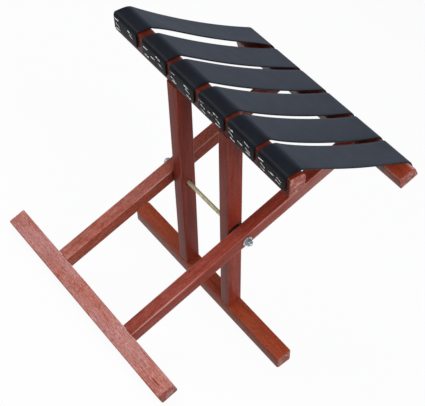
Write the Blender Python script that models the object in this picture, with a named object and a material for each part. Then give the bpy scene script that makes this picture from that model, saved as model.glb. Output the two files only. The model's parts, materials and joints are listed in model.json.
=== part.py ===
"""Folding camp stool: two hardwood H-frames crossed on a steel axle, with a seat of leather straps.

Units are metres and +Z is up. +Y runs along the rails, and the origin is on the floor below the axle.
The outer frame leans to +X and carries the right seat rail and the left foot rail. The inner frame
leans to -X, between the outer legs, and carries the left seat rail and the right foot rail. Each frame
is modelled upright round its empty, with its legs along Z and the axle through the empty, which then
leans the frame. The inner frame folds by turning about that axle, which lies along Y.
"""

import math

import bmesh
import bpy
from mathutils import Matrix, Vector

# Frames
FRAME_LEAN = math.radians(38.0)
AXLE_TO_SEAT_RAIL = 0.204
AXLE_TO_FOOT_RAIL = 0.2025
INNER_LEG_SPACING = 0.104
LEG_SIDE_GAP = 0.005

# Legs: thickness along the rails, depth across the frame
LEG_THICKNESS = 0.020
LEG_DEPTH = 0.025
LEG_ROUND = 0.0022
TENON_THICKNESS = 0.011
TENON_DEPTH = 0.012
TENON_LENGTH = 0.018
TENON_ROUND = 0.001

# Seat rails: height along the legs, depth across the frame
SEAT_RAIL_HEIGHT = 0.033
SEAT_RAIL_DEPTH = 0.025
SEAT_RAIL_OUTER_ROUND = 0.003
SEAT_RAIL_INNER_ROUND = 0.012
SEAT_RAIL_LOWER_ROUND = 0.002

# Foot rails, planed flat where they meet the floor
FOOT_RAIL_LENGTH = 0.358
FOOT_RAIL_HEIGHT = 0.0265
FOOT_RAIL_DEPTH = 0.026
FOOT_RAIL_ROUND = 0.0018
FLOOR_FLAT_CUT = 0.0012
FLOOR_FLAT_ROUND = 0.0005
RAIL_END_ROUND = 0.001

# Seat straps
STRAP_COUNT = 6
STRAP_WIDTH = 0.050
STRAP_GAP = 0.0073
RAIL_BEYOND_STRAPS = 0.00675
STRAP_THICKNESS = 0.002
STRAP_SAG = 0.005
STRAP_END_ABOVE_RAIL_EDGE = 0.008

# Axle and its hardware
AXLE_DIAMETER = 0.006
AXLE_END_BEYOND_NUT = 0.0025
AXLE_END_CHAMFER = 0.0006
NUT_ACROSS_FLATS = 0.010
NUT_HEIGHT = 0.005
NUT_CHAMFER = math.radians(30.0)
WASHER_DIAMETER = 0.016
WASHER_THICKNESS = 0.0016
SPACER_DIAMETER = 0.016

# Clearances
SEAT_CLEARANCE = 0.0003
BORE_CLEARANCE = 0.0003

# Facets
ROUND_STEPS = 3
SPAN_STEPS = 6
TURNED_SIDES = 24

# Sizes worked out from those above
STRAP_PITCH = STRAP_WIDTH + STRAP_GAP
SEAT_RAIL_LENGTH = STRAP_COUNT * STRAP_PITCH - STRAP_GAP + 2 * RAIL_BEYOND_STRAPS
SEAT_RAIL_TOP = AXLE_TO_SEAT_RAIL + SEAT_RAIL_HEIGHT
FOOT_RAIL_BOTTOM = AXLE_TO_FOOT_RAIL + FOOT_RAIL_HEIGHT
AXLE_HEIGHT = (
    FOOT_RAIL_BOTTOM * math.cos(FRAME_LEAN)
    + FOOT_RAIL_DEPTH / 2 * math.sin(FRAME_LEAN)
    - FLOOR_FLAT_CUT
)
INNER_LEG_Y = INNER_LEG_SPACING / 2
OUTER_LEG_Y = INNER_LEG_Y + LEG_THICKNESS + LEG_SIDE_GAP
OUTER_LEG_FACE_Y = OUTER_LEG_Y + LEG_THICKNESS / 2
WASHER_Y = OUTER_LEG_FACE_Y + SEAT_CLEARANCE
NUT_Y = WASHER_Y + WASHER_THICKNESS + SEAT_CLEARANCE
AXLE_END_Y = NUT_Y + NUT_HEIGHT + AXLE_END_BEYOND_NUT
BORE_RADIUS = AXLE_DIAMETER / 2 + BORE_CLEARANCE


def finish(name, colour, roughness, metallic=0.0):
    material = bpy.data.materials.new(name)
    material.use_nodes = True
    shader = material.node_tree.nodes["Principled BSDF"]
    shader.inputs["Base Color"].default_value = (*colour, 1.0)
    shader.inputs["Roughness"].default_value = roughness
    shader.inputs["Metallic"].default_value = metallic
    return material


def add_part(name, shells, material, parent=None):
    """Make one object of closed shells. A shell is a list of rings of points, each joined to the next.

    A shell's end rings are capped, unless it is a ring body, whose last ring joins its first.
    """
    form = bmesh.new()
    for rings, is_ring_body in shells:
        loops = [[form.verts.new(point) for point in ring] for ring in rings]
        following = loops[1:] + loops[:1] if is_ring_body else loops[1:]
        for loop, next_loop in zip(loops, following):
            for here in range(len(loop)):
                after = (here + 1) % len(loop)
                form.faces.new((loop[here], loop[after], next_loop[after], next_loop[here]))
        if not is_ring_body:
            form.faces.new(loops[0])
            form.faces.new(loops[-1])
    bmesh.ops.recalc_face_normals(form, faces=form.faces)
    mesh = bpy.data.meshes.new(name)
    form.to_mesh(mesh)
    form.free()
    if material:
        mesh.materials.append(material)
    mesh.shade_smooth()
    mesh.set_sharp_from_angle(angle=math.radians(40))
    part = bpy.data.objects.new(name, mesh)
    bpy.context.collection.objects.link(part)
    part.parent = parent
    return part


def shape_with(part, operation, name, shells, parent=None):
    """Cut or trim a part by a guide body that isn't part of the stool."""
    guide = add_part(name, shells, None, parent)
    guide.hide_render = True
    guide.display_type = "WIRE"
    modifier = part.modifiers.new(name, "BOOLEAN")
    modifier.operation = operation
    modifier.object = guide


def round_ends(part, width):
    """Round the arrises where a long piece is sawn off square."""
    modifier = part.modifiers.new("End arris", "BEVEL")
    modifier.width = width
    modifier.segments = 2
    modifier.limit_method = "ANGLE"
    modifier.angle_limit = math.radians(60)


def rounded_outline(corners, radii):
    """Points of a closed outline whose corners are arcs of the given radii."""
    points = []
    for index, corner in enumerate(corners):
        back = (corners[index - 1] - corner).normalized()
        ahead = (corners[(index + 1) % len(corners)] - corner).normalized()
        half_angle = back.angle(ahead) / 2
        centre = corner + (back + ahead).normalized() * radii[index] / math.sin(half_angle)
        spoke = corner + back * radii[index] / math.tan(half_angle) - centre
        turn = math.copysign(math.pi - 2 * half_angle, ahead.x * back.y - ahead.y * back.x)
        for step in range(ROUND_STEPS + 1):
            points.append(centre + Matrix.Rotation(turn * step / ROUND_STEPS, 2) @ spoke)
    return points


def rectangle(width, height, centre_height=0.0):
    """Corners anticlockwise from the low left one."""
    signs = ((-1, -1), (1, -1), (1, 1), (-1, 1))
    return [Vector((x * width / 2, centre_height + z * height / 2)) for x, z in signs]


def along_y(outline, start, end):
    """An outline of x and z points, drawn out along Y."""
    rings = [[(point.x, y, point.y) for point in outline] for y in (start, end)]
    return rings, False


def along_z(outline_at_heights):
    """Outlines of x and y points, each at its height, joined up Z."""
    rings = [[(point.x, point.y, z) for point in outline] for z, outline in outline_at_heights]
    return rings, False


def circle(radius, y):
    angles = [2 * math.pi * side / TURNED_SIDES for side in range(TURNED_SIDES)]
    return [(radius * math.cos(angle), y, radius * math.sin(angle)) for angle in angles]


def turned(profile):
    """A solid turned about Y, from radius and y pairs."""
    return [circle(radius, y) for radius, y in profile], False


def turned_ring(inner_radius, outer_radius, start, end):
    profile = ((inner_radius, start), (outer_radius, start), (outer_radius, end), (inner_radius, end))
    return [circle(radius, y) for radius, y in profile], True


def add_frame_empty(name, lean):
    frame = bpy.data.objects.new(name, None)
    bpy.context.collection.objects.link(frame)
    frame.location = (0.0, 0.0, AXLE_HEIGHT)
    frame.rotation_euler = (0.0, lean, 0.0)
    return frame


def add_leg(name, y, frame, wood):
    """A leg with a tenon at each end, bored for the axle."""
    body = rounded_outline(rectangle(LEG_DEPTH, LEG_THICKNESS, y), [LEG_ROUND] * 4)
    tenon = rounded_outline(rectangle(TENON_DEPTH, TENON_THICKNESS, y), [TENON_ROUND] * 4)
    low = SEAT_CLEARANCE - AXLE_TO_FOOT_RAIL
    high = AXLE_TO_SEAT_RAIL - SEAT_CLEARANCE
    stations = (
        (low - TENON_LENGTH, tenon),
        (low, tenon),
        (low, body),
        (high, body),
        (high, tenon),
        (high + TENON_LENGTH, tenon),
    )
    leg = add_part(name, [along_z(stations)], wood, frame)
    bore = turned(((BORE_RADIUS, y - LEG_THICKNESS), (BORE_RADIUS, y + LEG_THICKNESS)))
    shape_with(leg, "DIFFERENCE", name + "_bore", [bore], frame)


def cut_mortises(rail, leg_ys, face_z, into, frame):
    """Sockets in a rail's face for the tenons of its two legs, on the side that into points to."""
    outline = rectangle(TENON_DEPTH + 2 * SEAT_CLEARANCE, TENON_THICKNESS + 2 * SEAT_CLEARANCE)
    mouth = face_z - into * TENON_LENGTH
    floor = face_z + into * (TENON_LENGTH + SEAT_CLEARANCE)
    shells = []
    for y in leg_ys:
        placed = [point + Vector((0.0, y)) for point in outline]
        shells.append(along_z(((mouth, placed), (floor, placed))))
    shape_with(rail, "DIFFERENCE", rail.name + "_mortises", shells, frame)


def add_seat_rail(name, outward, leg_ys, frame, wood):
    """A seat rail. outward is the sign of local x on the side where the straps are stapled."""
    corners = rectangle(SEAT_RAIL_DEPTH, SEAT_RAIL_HEIGHT, AXLE_TO_SEAT_RAIL + SEAT_RAIL_HEIGHT / 2)
    left_round, right_round = SEAT_RAIL_INNER_ROUND, SEAT_RAIL_OUTER_ROUND
    if outward < 0:
        left_round, right_round = right_round, left_round
    radii = [SEAT_RAIL_LOWER_ROUND, SEAT_RAIL_LOWER_ROUND, right_round, left_round]
    outline = rounded_outline(corners, radii)
    half_length = SEAT_RAIL_LENGTH / 2
    rail = add_part(name, [along_y(outline, -half_length, half_length)], wood, frame)
    round_ends(rail, RAIL_END_ROUND)
    cut_mortises(rail, leg_ys, AXLE_TO_SEAT_RAIL, 1, frame)


def add_foot_rail(name, outward, leg_ys, frame, wood):
    """A foot rail. Its lowest arris, on the outward side, is planed to a flat that lies on the floor."""
    half_depth = FOOT_RAIL_DEPTH / 2
    top, bottom = -AXLE_TO_FOOT_RAIL, -FOOT_RAIL_BOTTOM
    flat_depth = FLOOR_FLAT_CUT / math.sin(FRAME_LEAN)
    flat_height = FLOOR_FLAT_CUT / math.cos(FRAME_LEAN)
    corners = [
        Vector((-half_depth, bottom)),
        Vector((half_depth - flat_depth, bottom)),
        Vector((half_depth, bottom + flat_height)),
        Vector((half_depth, top)),
        Vector((-half_depth, top)),
    ]
    radii = [FOOT_RAIL_ROUND, FLOOR_FLAT_ROUND, FLOOR_FLAT_ROUND, FOOT_RAIL_ROUND, FOOT_RAIL_ROUND]
    outline = [Vector((outward * point.x, point.y)) for point in rounded_outline(corners, radii)]
    half_length = FOOT_RAIL_LENGTH / 2
    rail = add_part(name, [along_y(outline, -half_length, half_length)], wood, frame)
    round_ends(rail, RAIL_END_ROUND)
    cut_mortises(rail, leg_ys, -AXLE_TO_FOOT_RAIL, -1, frame)


def strap_middle_y(number):
    return ((STRAP_COUNT - 1) / 2 - number) * STRAP_PITCH


def strap_half_path():
    """Points and upward normals of a strap's underside, from its right end to the middle of the seat.

    The strap climbs the right rail's outer face, goes over its top and leaves its inner round for the span,
    which sags as a parabola.
    """
    half_depth = SEAT_RAIL_DEPTH / 2
    lean = Matrix.Rotation(-FRAME_LEAN, 2)
    axle = Vector((0.0, AXLE_HEIGHT))
    outer_centre = Vector((half_depth - SEAT_RAIL_OUTER_ROUND, SEAT_RAIL_TOP - SEAT_RAIL_OUTER_ROUND))
    inner_centre = Vector((SEAT_RAIL_INNER_ROUND - half_depth, SEAT_RAIL_TOP - SEAT_RAIL_INNER_ROUND))
    slope = math.atan2(2 * STRAP_SAG, (lean @ inner_centre).x)

    end = Vector((half_depth + SEAT_CLEARANCE, AXLE_TO_SEAT_RAIL + STRAP_END_ABOVE_RAIL_EDGE))
    on_rail = [(end, Vector((1.0, 0.0)))]
    arcs = (
        (outer_centre, SEAT_RAIL_OUTER_ROUND, 0.0, math.pi / 2),
        (inner_centre, SEAT_RAIL_INNER_ROUND, math.pi / 2, math.pi / 2 + FRAME_LEAN + slope),
    )
    for centre, radius, start, stop in arcs:
        for step in range(ROUND_STEPS + 1):
            angle = start + (stop - start) * step / ROUND_STEPS
            normal = Vector((math.cos(angle), math.sin(angle)))
            on_rail.append((centre + normal * (radius + SEAT_CLEARANCE), normal))
    path = [(axle + lean @ point, lean @ normal) for point, normal in on_rail]

    leaves_at = path[-1][0]
    for step in range(1, SPAN_STEPS + 1):
        x = leaves_at.x * (1 - step / SPAN_STEPS)
        drop = math.tan(slope) * (leaves_at.x**2 - x**2) / (2 * leaves_at.x)
        normal = Vector((-math.tan(slope) * x / leaves_at.x, 1.0)).normalized()
        path.append((Vector((x, leaves_at.y - drop)), normal))
    return path


def add_straps(leather):
    right_half = strap_half_path()
    mirror = Matrix(((-1.0, 0.0), (0.0, 1.0)))
    left_half = [(mirror @ point, mirror @ normal) for point, normal in reversed(right_half[:-1])]
    path = right_half + left_half
    underside = [point for point, normal in path]
    upperside = [point + normal * STRAP_THICKNESS for point, normal in path]
    outline = underside + upperside[::-1]
    for number in range(STRAP_COUNT):
        y = strap_middle_y(number)
        shell = along_y(outline, y - STRAP_WIDTH / 2, y + STRAP_WIDTH / 2)
        add_part(f"seat_strap_{number + 1}", [shell], leather)


def add_axle(frame, plated, zinc, nylon):
    """The axle, and the hardware at its near end, at -Y, and its far end."""
    radius = AXLE_DIAMETER / 2
    tip = radius - AXLE_END_CHAMFER
    shank_end = AXLE_END_Y - AXLE_END_CHAMFER
    profile = ((tip, -AXLE_END_Y), (radius, -shank_end), (radius, shank_end), (tip, AXLE_END_Y))
    add_part("axle_rod", [turned(profile)], plated, frame)

    spacer_start = INNER_LEG_Y + LEG_THICKNESS / 2 + SEAT_CLEARANCE
    spacer_end = spacer_start + LEG_SIDE_GAP - 2 * SEAT_CLEARANCE
    flat_radius = NUT_ACROSS_FLATS / 2
    corner_radius = flat_radius / math.cos(math.pi / 6)
    chamfer_rise = (corner_radius - flat_radius) * math.tan(NUT_CHAMFER)
    first_corner = Vector((corner_radius, 0.0))
    hexagon = [Matrix.Rotation(corner * math.pi / 3, 2) @ first_corner for corner in range(6)]
    for end, side in (("near", -1), ("far", 1)):
        washer = turned_ring(
            BORE_RADIUS, WASHER_DIAMETER / 2, side * WASHER_Y, side * (WASHER_Y + WASHER_THICKNESS)
        )
        add_part(f"axle_washer_{end}", [washer], zinc, frame)
        spacer = turned_ring(BORE_RADIUS, SPACER_DIAMETER / 2, side * spacer_start, side * spacer_end)
        add_part(f"pivot_spacer_{end}", [spacer], nylon, frame)

        nut_start, nut_end = side * NUT_Y, side * (NUT_Y + NUT_HEIGHT)
        nut = add_part(f"axle_nut_{end}", [along_y(hexagon, nut_start, nut_end)], zinc, frame)
        chamfer = turned(
            (
                (flat_radius, nut_start),
                (corner_radius, nut_start + side * chamfer_rise),
                (corner_radius, nut_end - side * chamfer_rise),
                (flat_radius, nut_end),
            )
        )
        shape_with(nut, "INTERSECT", f"{nut.name}_chamfer", [chamfer], frame)
        bore_start, bore_end = nut_start - side * NUT_HEIGHT, nut_end + side * NUT_HEIGHT
        bore = turned(((BORE_RADIUS, bore_start), (BORE_RADIUS, bore_end)))
        shape_with(nut, "DIFFERENCE", f"{nut.name}_bore", [bore], frame)


def build():
    for old in list(bpy.data.objects):
        bpy.data.objects.remove(old, do_unlink=True)

    wood = finish("Varnished red hardwood", (0.16, 0.035, 0.022), 0.38)
    leather = finish("Black leather", (0.028, 0.030, 0.038), 0.5)
    plated = finish("Yellow zinc plate", (0.48, 0.42, 0.22), 0.35, 1.0)
    zinc = finish("Zinc plate", (0.45, 0.50, 0.54), 0.32, 1.0)
    nylon = finish("Black nylon", (0.02, 0.02, 0.02), 0.5)

    outer_frame = add_frame_empty("outer_frame", FRAME_LEAN)
    inner_frame = add_frame_empty("inner_frame", -FRAME_LEAN)
    frames = (
        (outer_frame, "outer", OUTER_LEG_Y, 1, "right", "left"),
        (inner_frame, "inner", INNER_LEG_Y, -1, "left", "right"),
    )
    for frame, kind, leg_y, outward, seat_side, foot_side in frames:
        leg_ys = (-leg_y, leg_y)
        for end, y in zip(("near", "far"), leg_ys):
            add_leg(f"{kind}_leg_{end}", y, frame, wood)
        add_seat_rail(f"seat_rail_{seat_side}", outward, leg_ys, frame, wood)
        add_foot_rail(f"foot_rail_{foot_side}", outward, leg_ys, frame, wood)
    add_straps(leather)
    add_axle(outer_frame, plated, zinc, nylon)


build()
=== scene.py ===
# %% [markdown]
# # A folding camp stool in red hardwood and black leather
# The stool is two H-shaped hardwood frames that cross on one steel axle, with six leather straps stapled
# over the two seat rails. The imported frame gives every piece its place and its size, so this lesson starts
# by loading it, and then models each piece again in its place, with its real arrises and finish, and adds
# the staples. Lengths are in metres, and MM turns the millimetres of a maker's drawing into them.

# %% Load the frame
import json
import math
import random
import bmesh
import bpy
from mathutils import Matrix, Vector


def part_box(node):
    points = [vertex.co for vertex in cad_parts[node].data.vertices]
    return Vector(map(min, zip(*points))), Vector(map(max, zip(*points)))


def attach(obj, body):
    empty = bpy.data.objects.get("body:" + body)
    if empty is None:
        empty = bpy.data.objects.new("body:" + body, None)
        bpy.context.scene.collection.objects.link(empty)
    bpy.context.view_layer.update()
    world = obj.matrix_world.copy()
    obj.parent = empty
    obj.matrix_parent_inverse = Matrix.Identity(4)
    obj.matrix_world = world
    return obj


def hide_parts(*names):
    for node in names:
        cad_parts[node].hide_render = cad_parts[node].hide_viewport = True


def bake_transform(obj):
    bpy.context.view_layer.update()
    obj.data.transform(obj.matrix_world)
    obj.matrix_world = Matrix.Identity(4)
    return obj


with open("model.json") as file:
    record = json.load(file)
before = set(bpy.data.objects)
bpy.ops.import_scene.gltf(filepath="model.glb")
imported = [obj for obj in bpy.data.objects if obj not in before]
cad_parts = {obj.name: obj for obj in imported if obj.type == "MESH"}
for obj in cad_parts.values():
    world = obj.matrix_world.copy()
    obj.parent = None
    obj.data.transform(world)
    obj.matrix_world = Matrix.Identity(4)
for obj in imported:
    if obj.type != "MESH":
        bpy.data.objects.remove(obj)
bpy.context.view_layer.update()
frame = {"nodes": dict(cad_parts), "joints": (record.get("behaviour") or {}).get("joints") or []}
bpy.ops.object.select_all(action="DESELECT")

MM = 0.001
AXLE = Vector(frame["joints"][0]["pos_m"])
print("nodes:", len(frame["nodes"]), "axle at", [round(value / MM, 1) for value in AXLE], "mm")

# %% [markdown]
# ## Where the camera stands
# The photograph looks down at the stool's left front corner, with the camera rolled so that the stool
# seems to lean into the picture. A camera could be turned by three bare angles, but aiming it at a point
# and then rolling it about its own line of sight is easier to read and to change. The long lens is what
# keeps the rails almost parallel.

# %% Camera
CAMERA_PLACE = Vector((-1.1014, -0.6632, 0.7810))
CAMERA_TARGET = Vector((-0.0316, -0.0279, 0.2076))
CAMERA_ROLL = math.radians(31.0)
# The lens and the sensor are in millimetres, as camera makers give them.
CAMERA_LENS = 85.08
SENSOR_WIDTH = 36.0

camera_data = bpy.data.cameras.new("camera")
camera_data.lens = CAMERA_LENS
camera_data.sensor_width = SENSOR_WIDTH
camera = bpy.data.objects.new("camera", camera_data)
bpy.context.scene.collection.objects.link(camera)
aim = (CAMERA_TARGET - CAMERA_PLACE).to_track_quat("-Z", "Y").to_matrix()
roll = Matrix.Rotation(CAMERA_ROLL, 3, "Z")
camera.matrix_world = Matrix.Translation(CAMERA_PLACE) @ (aim @ roll).to_4x4()
bpy.context.scene.camera = camera
print("camera", round((CAMERA_TARGET - CAMERA_PLACE).length, 2), "m from its target")

# %% [markdown]
# ## Light and a white floor
# The stool was photographed in soft daylight that comes in low from the left, with little light from
# straight above, and then cut out on white. One sun lamp could light it, but its shadows would be hard, so
# three large soft boxes and a dim sky that darkens overhead give that light at a plain level. The floor is
# white card: the camera, and shiny things, see it mostly at full white, and the rest of its colour still
# takes the shadow.


# %% Colours and nodes
def linear(hex_colour):
    """An sRGB hex value as linear red, green, blue and alpha."""
    shares = [int(hex_colour[start : start + 2], 16) / 255 for start in (1, 3, 5)]
    return [s / 12.92 if s <= 0.04045 else ((s + 0.055) / 1.055) ** 2.4 for s in shares] + [1.0]


def add_node(tree, kind, settings=None, inputs=None):
    """Add a node with its settings. An input is given a value, or linked where it is given a socket."""
    node = tree.nodes.new(kind)
    for name, value in (settings or {}).items():
        setattr(node, name, value)
    for socket, value in (inputs or {}).items():
        if isinstance(value, bpy.types.NodeSocket):
            tree.links.new(value, node.inputs[socket])
        else:
            node.inputs[socket].default_value = value
    return node


WHITE = linear("#ffffff")
print("white is", WHITE)

# %% Sky
SKY_LOW = linear("#a9b0be")
SKY_HIGH = linear("#6a6d74")
# How high the sky starts to darken and is darkest, from 0 at the horizon to 1 straight above.
SKY_DARKENS = 0.25
SKY_DARKEST = 0.75

world = bpy.data.worlds.new("soft daylight")
bpy.context.scene.world = world
world.use_nodes = True
sky = world.node_tree
sky.nodes.clear()
direction = add_node(sky, "ShaderNodeTexCoord").outputs["Generated"]
height = add_node(sky, "ShaderNodeSeparateXYZ", inputs={0: direction}).outputs["Z"]
climb = add_node(sky, "ShaderNodeMapRange", inputs={0: height, 1: SKY_DARKENS, 2: SKY_DARKEST}).outputs[0]
tones = {0: climb, 6: SKY_LOW, 7: SKY_HIGH}
tone = add_node(sky, "ShaderNodeMix", {"data_type": "RGBA"}, tones).outputs[2]
glow = add_node(sky, "ShaderNodeBackground", inputs={"Color": tone, "Strength": 1.0})
add_node(sky, "ShaderNodeOutputWorld", inputs={"Surface": glow.outputs[0]})
bpy.context.scene.view_settings.view_transform = "Standard"
print("sky from", SKY_LOW[:3], "to", SKY_HIGH[:3])

# %% Soft boxes
SOFT_BOX_DISTANCE = 2.4
# Where each box stands from the axle, its width in metres, its brightness and its tint.
SOFT_BOXES = {
    "window_left": (Vector((-0.60, 0.46, 0.66)), 1.9, 2.3, "#ffffff"),
    "window_front": (Vector((-0.35, -0.74, 0.50)), 1.7, 4.3, "#ffffff"),
    "window_back": (Vector((0.78, 0.46, 0.70)), 2.0, 0.7, "#d5e0ff"),
}

for name, (towards, width, brightness, tint) in SOFT_BOXES.items():
    lamp = bpy.data.lights.new(name, "AREA")
    lamp.shape = "SQUARE"
    lamp.size = width
    lamp.color = linear(tint)[:3]
    lamp.energy = brightness * math.pi * width**2
    box = bpy.data.objects.new(name, lamp)
    bpy.context.scene.collection.objects.link(box)
    box.location = AXLE + towards.normalized() * SOFT_BOX_DISTANCE
    box.rotation_euler = towards.to_track_quat("Z", "Y").to_euler()
    box.visible_camera = False
    print(name, round(lamp.energy, 1), "W")

# %% White floor
FLOOR_SIZE = 60.0
FLOOR_WHITE = linear("#f4f4f4")
FLOOR_BOUNCE = linear("#9c9c9c")
SHARE_SEEN_WHITE = 0.95

bpy.ops.mesh.primitive_plane_add(size=FLOOR_SIZE, location=(0.0, 0.0, 0.0))
floor = bpy.context.object
floor.name = "white_floor"
card = bpy.data.materials.new("white card")
card.use_nodes = True
card_tree = card.node_tree
card_tree.nodes.clear()
ray = add_node(card_tree, "ShaderNodeLightPath").outputs
either = {"operation": "MAXIMUM"}
shiny_rays = {0: ray["Is Glossy Ray"], 1: ray["Is Transmission Ray"]}
shiny = add_node(card_tree, "ShaderNodeMath", either, shiny_rays).outputs[0]
seen = add_node(card_tree, "ShaderNodeMath", either, {0: ray["Is Camera Ray"], 1: shiny}).outputs[0]
matt = add_node(card_tree, "ShaderNodeBsdfDiffuse", inputs={"Color": FLOOR_WHITE}).outputs[0]
white = add_node(card_tree, "ShaderNodeEmission", inputs={"Color": WHITE, "Strength": 1.0}).outputs[0]
mostly_white = {0: SHARE_SEEN_WHITE, 1: matt, 2: white}
seen_card = add_node(card_tree, "ShaderNodeMixShader", inputs=mostly_white).outputs[0]
bounce = add_node(card_tree, "ShaderNodeBsdfDiffuse", inputs={"Color": FLOOR_BOUNCE}).outputs[0]
both = add_node(card_tree, "ShaderNodeMixShader", inputs={0: seen, 1: bounce, 2: seen_card}).outputs[0]
add_node(card_tree, "ShaderNodeOutputMaterial", inputs={"Surface": both})
floor.data.materials.append(card)
print("floor", FLOOR_SIZE, "m square")

# %% [markdown]
# ## The red hardwood
# The timber is a heavy red-brown heartwood, planed, oiled and thinly varnished. The eye sees three things
# in it: broad bands of redder and browner wood, fine streaks along the grain, and open pores that show as
# short dark dashes. A flat picture of wood could be wrapped on, but a solid pattern in the piece's own
# space runs through it as real grain does, so the faces of a bar agree at their arrises. A Mapping node
# turns the pattern to the grain of each bar and divides by the real size of each mark. Where a bar is
# handled and trodden the finish is dry and dusty pink, and that pink is also painted on faces that look up
# as painted sheen. On the arrises the finish is rubbed thin, and painted lighter as painted highlight.

# %% Grain marks
# Each mark's size across and along the grain, and how much fine detail it has. Real pores are 0.3 mm wide.
# They are drawn more than twice as wide, so that they still show in the picture.
GRAIN_MARKS = {
    "band": ((8 * MM, 8 * MM, 110 * MM), 2.0),
    "streak": ((1.4 * MM, 1.4 * MM, 36 * MM), 3.0),
    "pore": ((0.7 * MM, 0.7 * MM, 4.5 * MM), 1.0),
    "dust": ((5 * MM, 5 * MM, 12 * MM), 5.0),
    "bleach": ((40 * MM, 40 * MM, 90 * MM), 2.0),
}


def start_material(name):
    """A new material, its nodes, its shader and the socket that gives a point's place in the piece."""
    material = bpy.data.materials.new(name)
    material.use_nodes = True
    tree = material.node_tree
    place = add_node(tree, "ShaderNodeTexCoord").outputs["Object"]
    return material, tree, tree.nodes["Principled BSDF"], place


def grain_marks(tree, place, grain_turn):
    """The pattern of each mark, for a grain that follows Z before it is turned."""
    marks = {}
    for mark, (size, detail) in GRAIN_MARKS.items():
        turn = {"Vector": place, "Location": AXLE, "Rotation": grain_turn, "Scale": size}
        grain = add_node(tree, "ShaderNodeMapping", {"vector_type": "TEXTURE"}, turn).outputs[0]
        speckle = {"Vector": grain, "Scale": 1.0, "Detail": detail}
        marks[mark] = add_node(tree, "ShaderNodeTexNoise", inputs=speckle).outputs["Fac"]
    return marks


print("grain marks:", list(GRAIN_MARKS))

# %% Dust and painted sheen
# Dust, and a painted sheen with it, lies on the faces that look up, thickest low down, and thins out up
# the legs.
DUST_AND_SHEEN_FULL_HEIGHT = 60 * MM
DUST_AND_SHEEN_THIN_HEIGHT = 240 * MM
DUST_AND_SHEEN_THINNEST = 0.15
TIMES = {"operation": "MULTIPLY"}


def dust_and_sheen_share(tree, place):
    """How much of the dust and painted sheen a point holds. A bar's faces store how far they look up."""
    height = add_node(tree, "ShaderNodeSeparateXYZ", inputs={0: place}).outputs["Z"]
    thinning = {0: height, 1: DUST_AND_SHEEN_FULL_HEIGHT, 2: DUST_AND_SHEEN_THIN_HEIGHT, 3: 1.0, 4: DUST_AND_SHEEN_THINNEST}
    lowness = add_node(tree, "ShaderNodeMapRange", inputs=thinning).outputs[0]
    facing_up = add_node(tree, "ShaderNodeAttribute", {"attribute_name": "dust_and_sheen_facing"}).outputs["Fac"]
    return add_node(tree, "ShaderNodeMath", TIMES, {0: lowness, 1: facing_up}).outputs[0]


print("dust thins out from", DUST_AND_SHEEN_FULL_HEIGHT / MM, "to", DUST_AND_SHEEN_THIN_HEIGHT / MM, "mm above the floor")

# %% Layers of colour
HEARTWOOD_RED = linear("#7c231c")
HEARTWOOD_BROWN = linear("#94362a")
AMBER_WOOD = linear("#a54d26")
# A pale dry pink: partly real dry finish, partly painted sheen on faces that look up.
DRY_AND_SHEEN_WOOD = linear("#c4796c")
BLEACHED_WOOD = linear("#cf9a97")
DUST_PALE = linear("#dcb8b0")
PORE_BROWN = linear("#45170f")
# The least of the oil that shows, and the most of the bleaching and of the two kinds of pore.
OIL_LEAST = 0.7
BLEACHING_MOST = 0.5
DARK_PORES_MOST = 0.55
DUSTY_PORES_MOST = 0.6
DRYNESS_SPREAD = 0.25


def layered_colour(tree, marks, settled_dust_and_sheen, dryness_and_sheen, oiliness):
    """The wood's colour, built up in layers that each follow a mark."""
    spread = min(DRYNESS_SPREAD, dryness_and_sheen)
    # Each layer covers the one below: the mark it follows, where in that mark it starts and is full, the
    # least and the most of it that shows, and its colour.
    layers = (
        ("band", 0.36, 0.64, 0.0, 1.0, HEARTWOOD_BROWN),
        ("dust", 0.62, 0.42, OIL_LEAST * oiliness, oiliness, AMBER_WOOD),
        ("dust", 0.38, 0.62, dryness_and_sheen - spread, dryness_and_sheen + spread, DRY_AND_SHEEN_WOOD),
        ("bleach", 0.46, 0.58, 0.0, BLEACHING_MOST * dryness_and_sheen, BLEACHED_WOOD),
        ("pore", 0.56, 0.68, 0.0, DARK_PORES_MOST, PORE_BROWN),
        ("pore", 0.42, 0.30, 0.0, DUSTY_PORES_MOST * dryness_and_sheen, DUST_PALE),
    )
    colour = HEARTWOOD_RED
    for mark, start, full, least, most, over in layers:
        limits = {0: marks[mark], 1: start, 2: full, 3: least, 4: most}
        share = add_node(tree, "ShaderNodeMapRange", inputs=limits).outputs[0]
        # Dry wood, partly painted sheen, and bleached wood show only where the dust and painted sheen
        # settle.
        if over in (DRY_AND_SHEEN_WOOD, BLEACHED_WOOD):
            share = add_node(tree, "ShaderNodeMath", TIMES, {0: share, 1: settled_dust_and_sheen}).outputs[0]
        cover = {0: share, 6: colour, 7: over}
        colour = add_node(tree, "ShaderNodeMix", {"data_type": "RGBA"}, cover).outputs[2]
    return colour


print("heartwood from", HEARTWOOD_RED[:3], "to", HEARTWOOD_BROWN[:3])

# %% Hardwood
# The pale of rubbed arrises: partly real wear, partly painted highlight.
WORN_HIGHLIGHT_WOOD = linear("#d9a69b")
# Where in its mark a streak is darkest and lightest, and a patch of wear and painted highlight is least
# and most.
STREAK_LIMITS = (0.3, 0.7)
PATCH_LIMITS = (0.42, 0.58)
STREAK_DARKEST = 0.80
STREAK_LIGHTEST = 1.18
WEAR_AND_HIGHLIGHT_LEAST = 0.15
VARNISH_IOR = 1.5
# Thin, half-worn varnish mirrors less than a full coat does.
VARNISH_MIRROR = 0.07
VARNISH_ROUGHNESS = 0.36
DRY_ROUGHNESS = 0.62
GRAIN_RELIEF = 0.35
GRAIN_DEPTH = 0.4 * MM
DARKEN = {"data_type": "RGBA", "blend_type": "MULTIPLY"}


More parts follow.
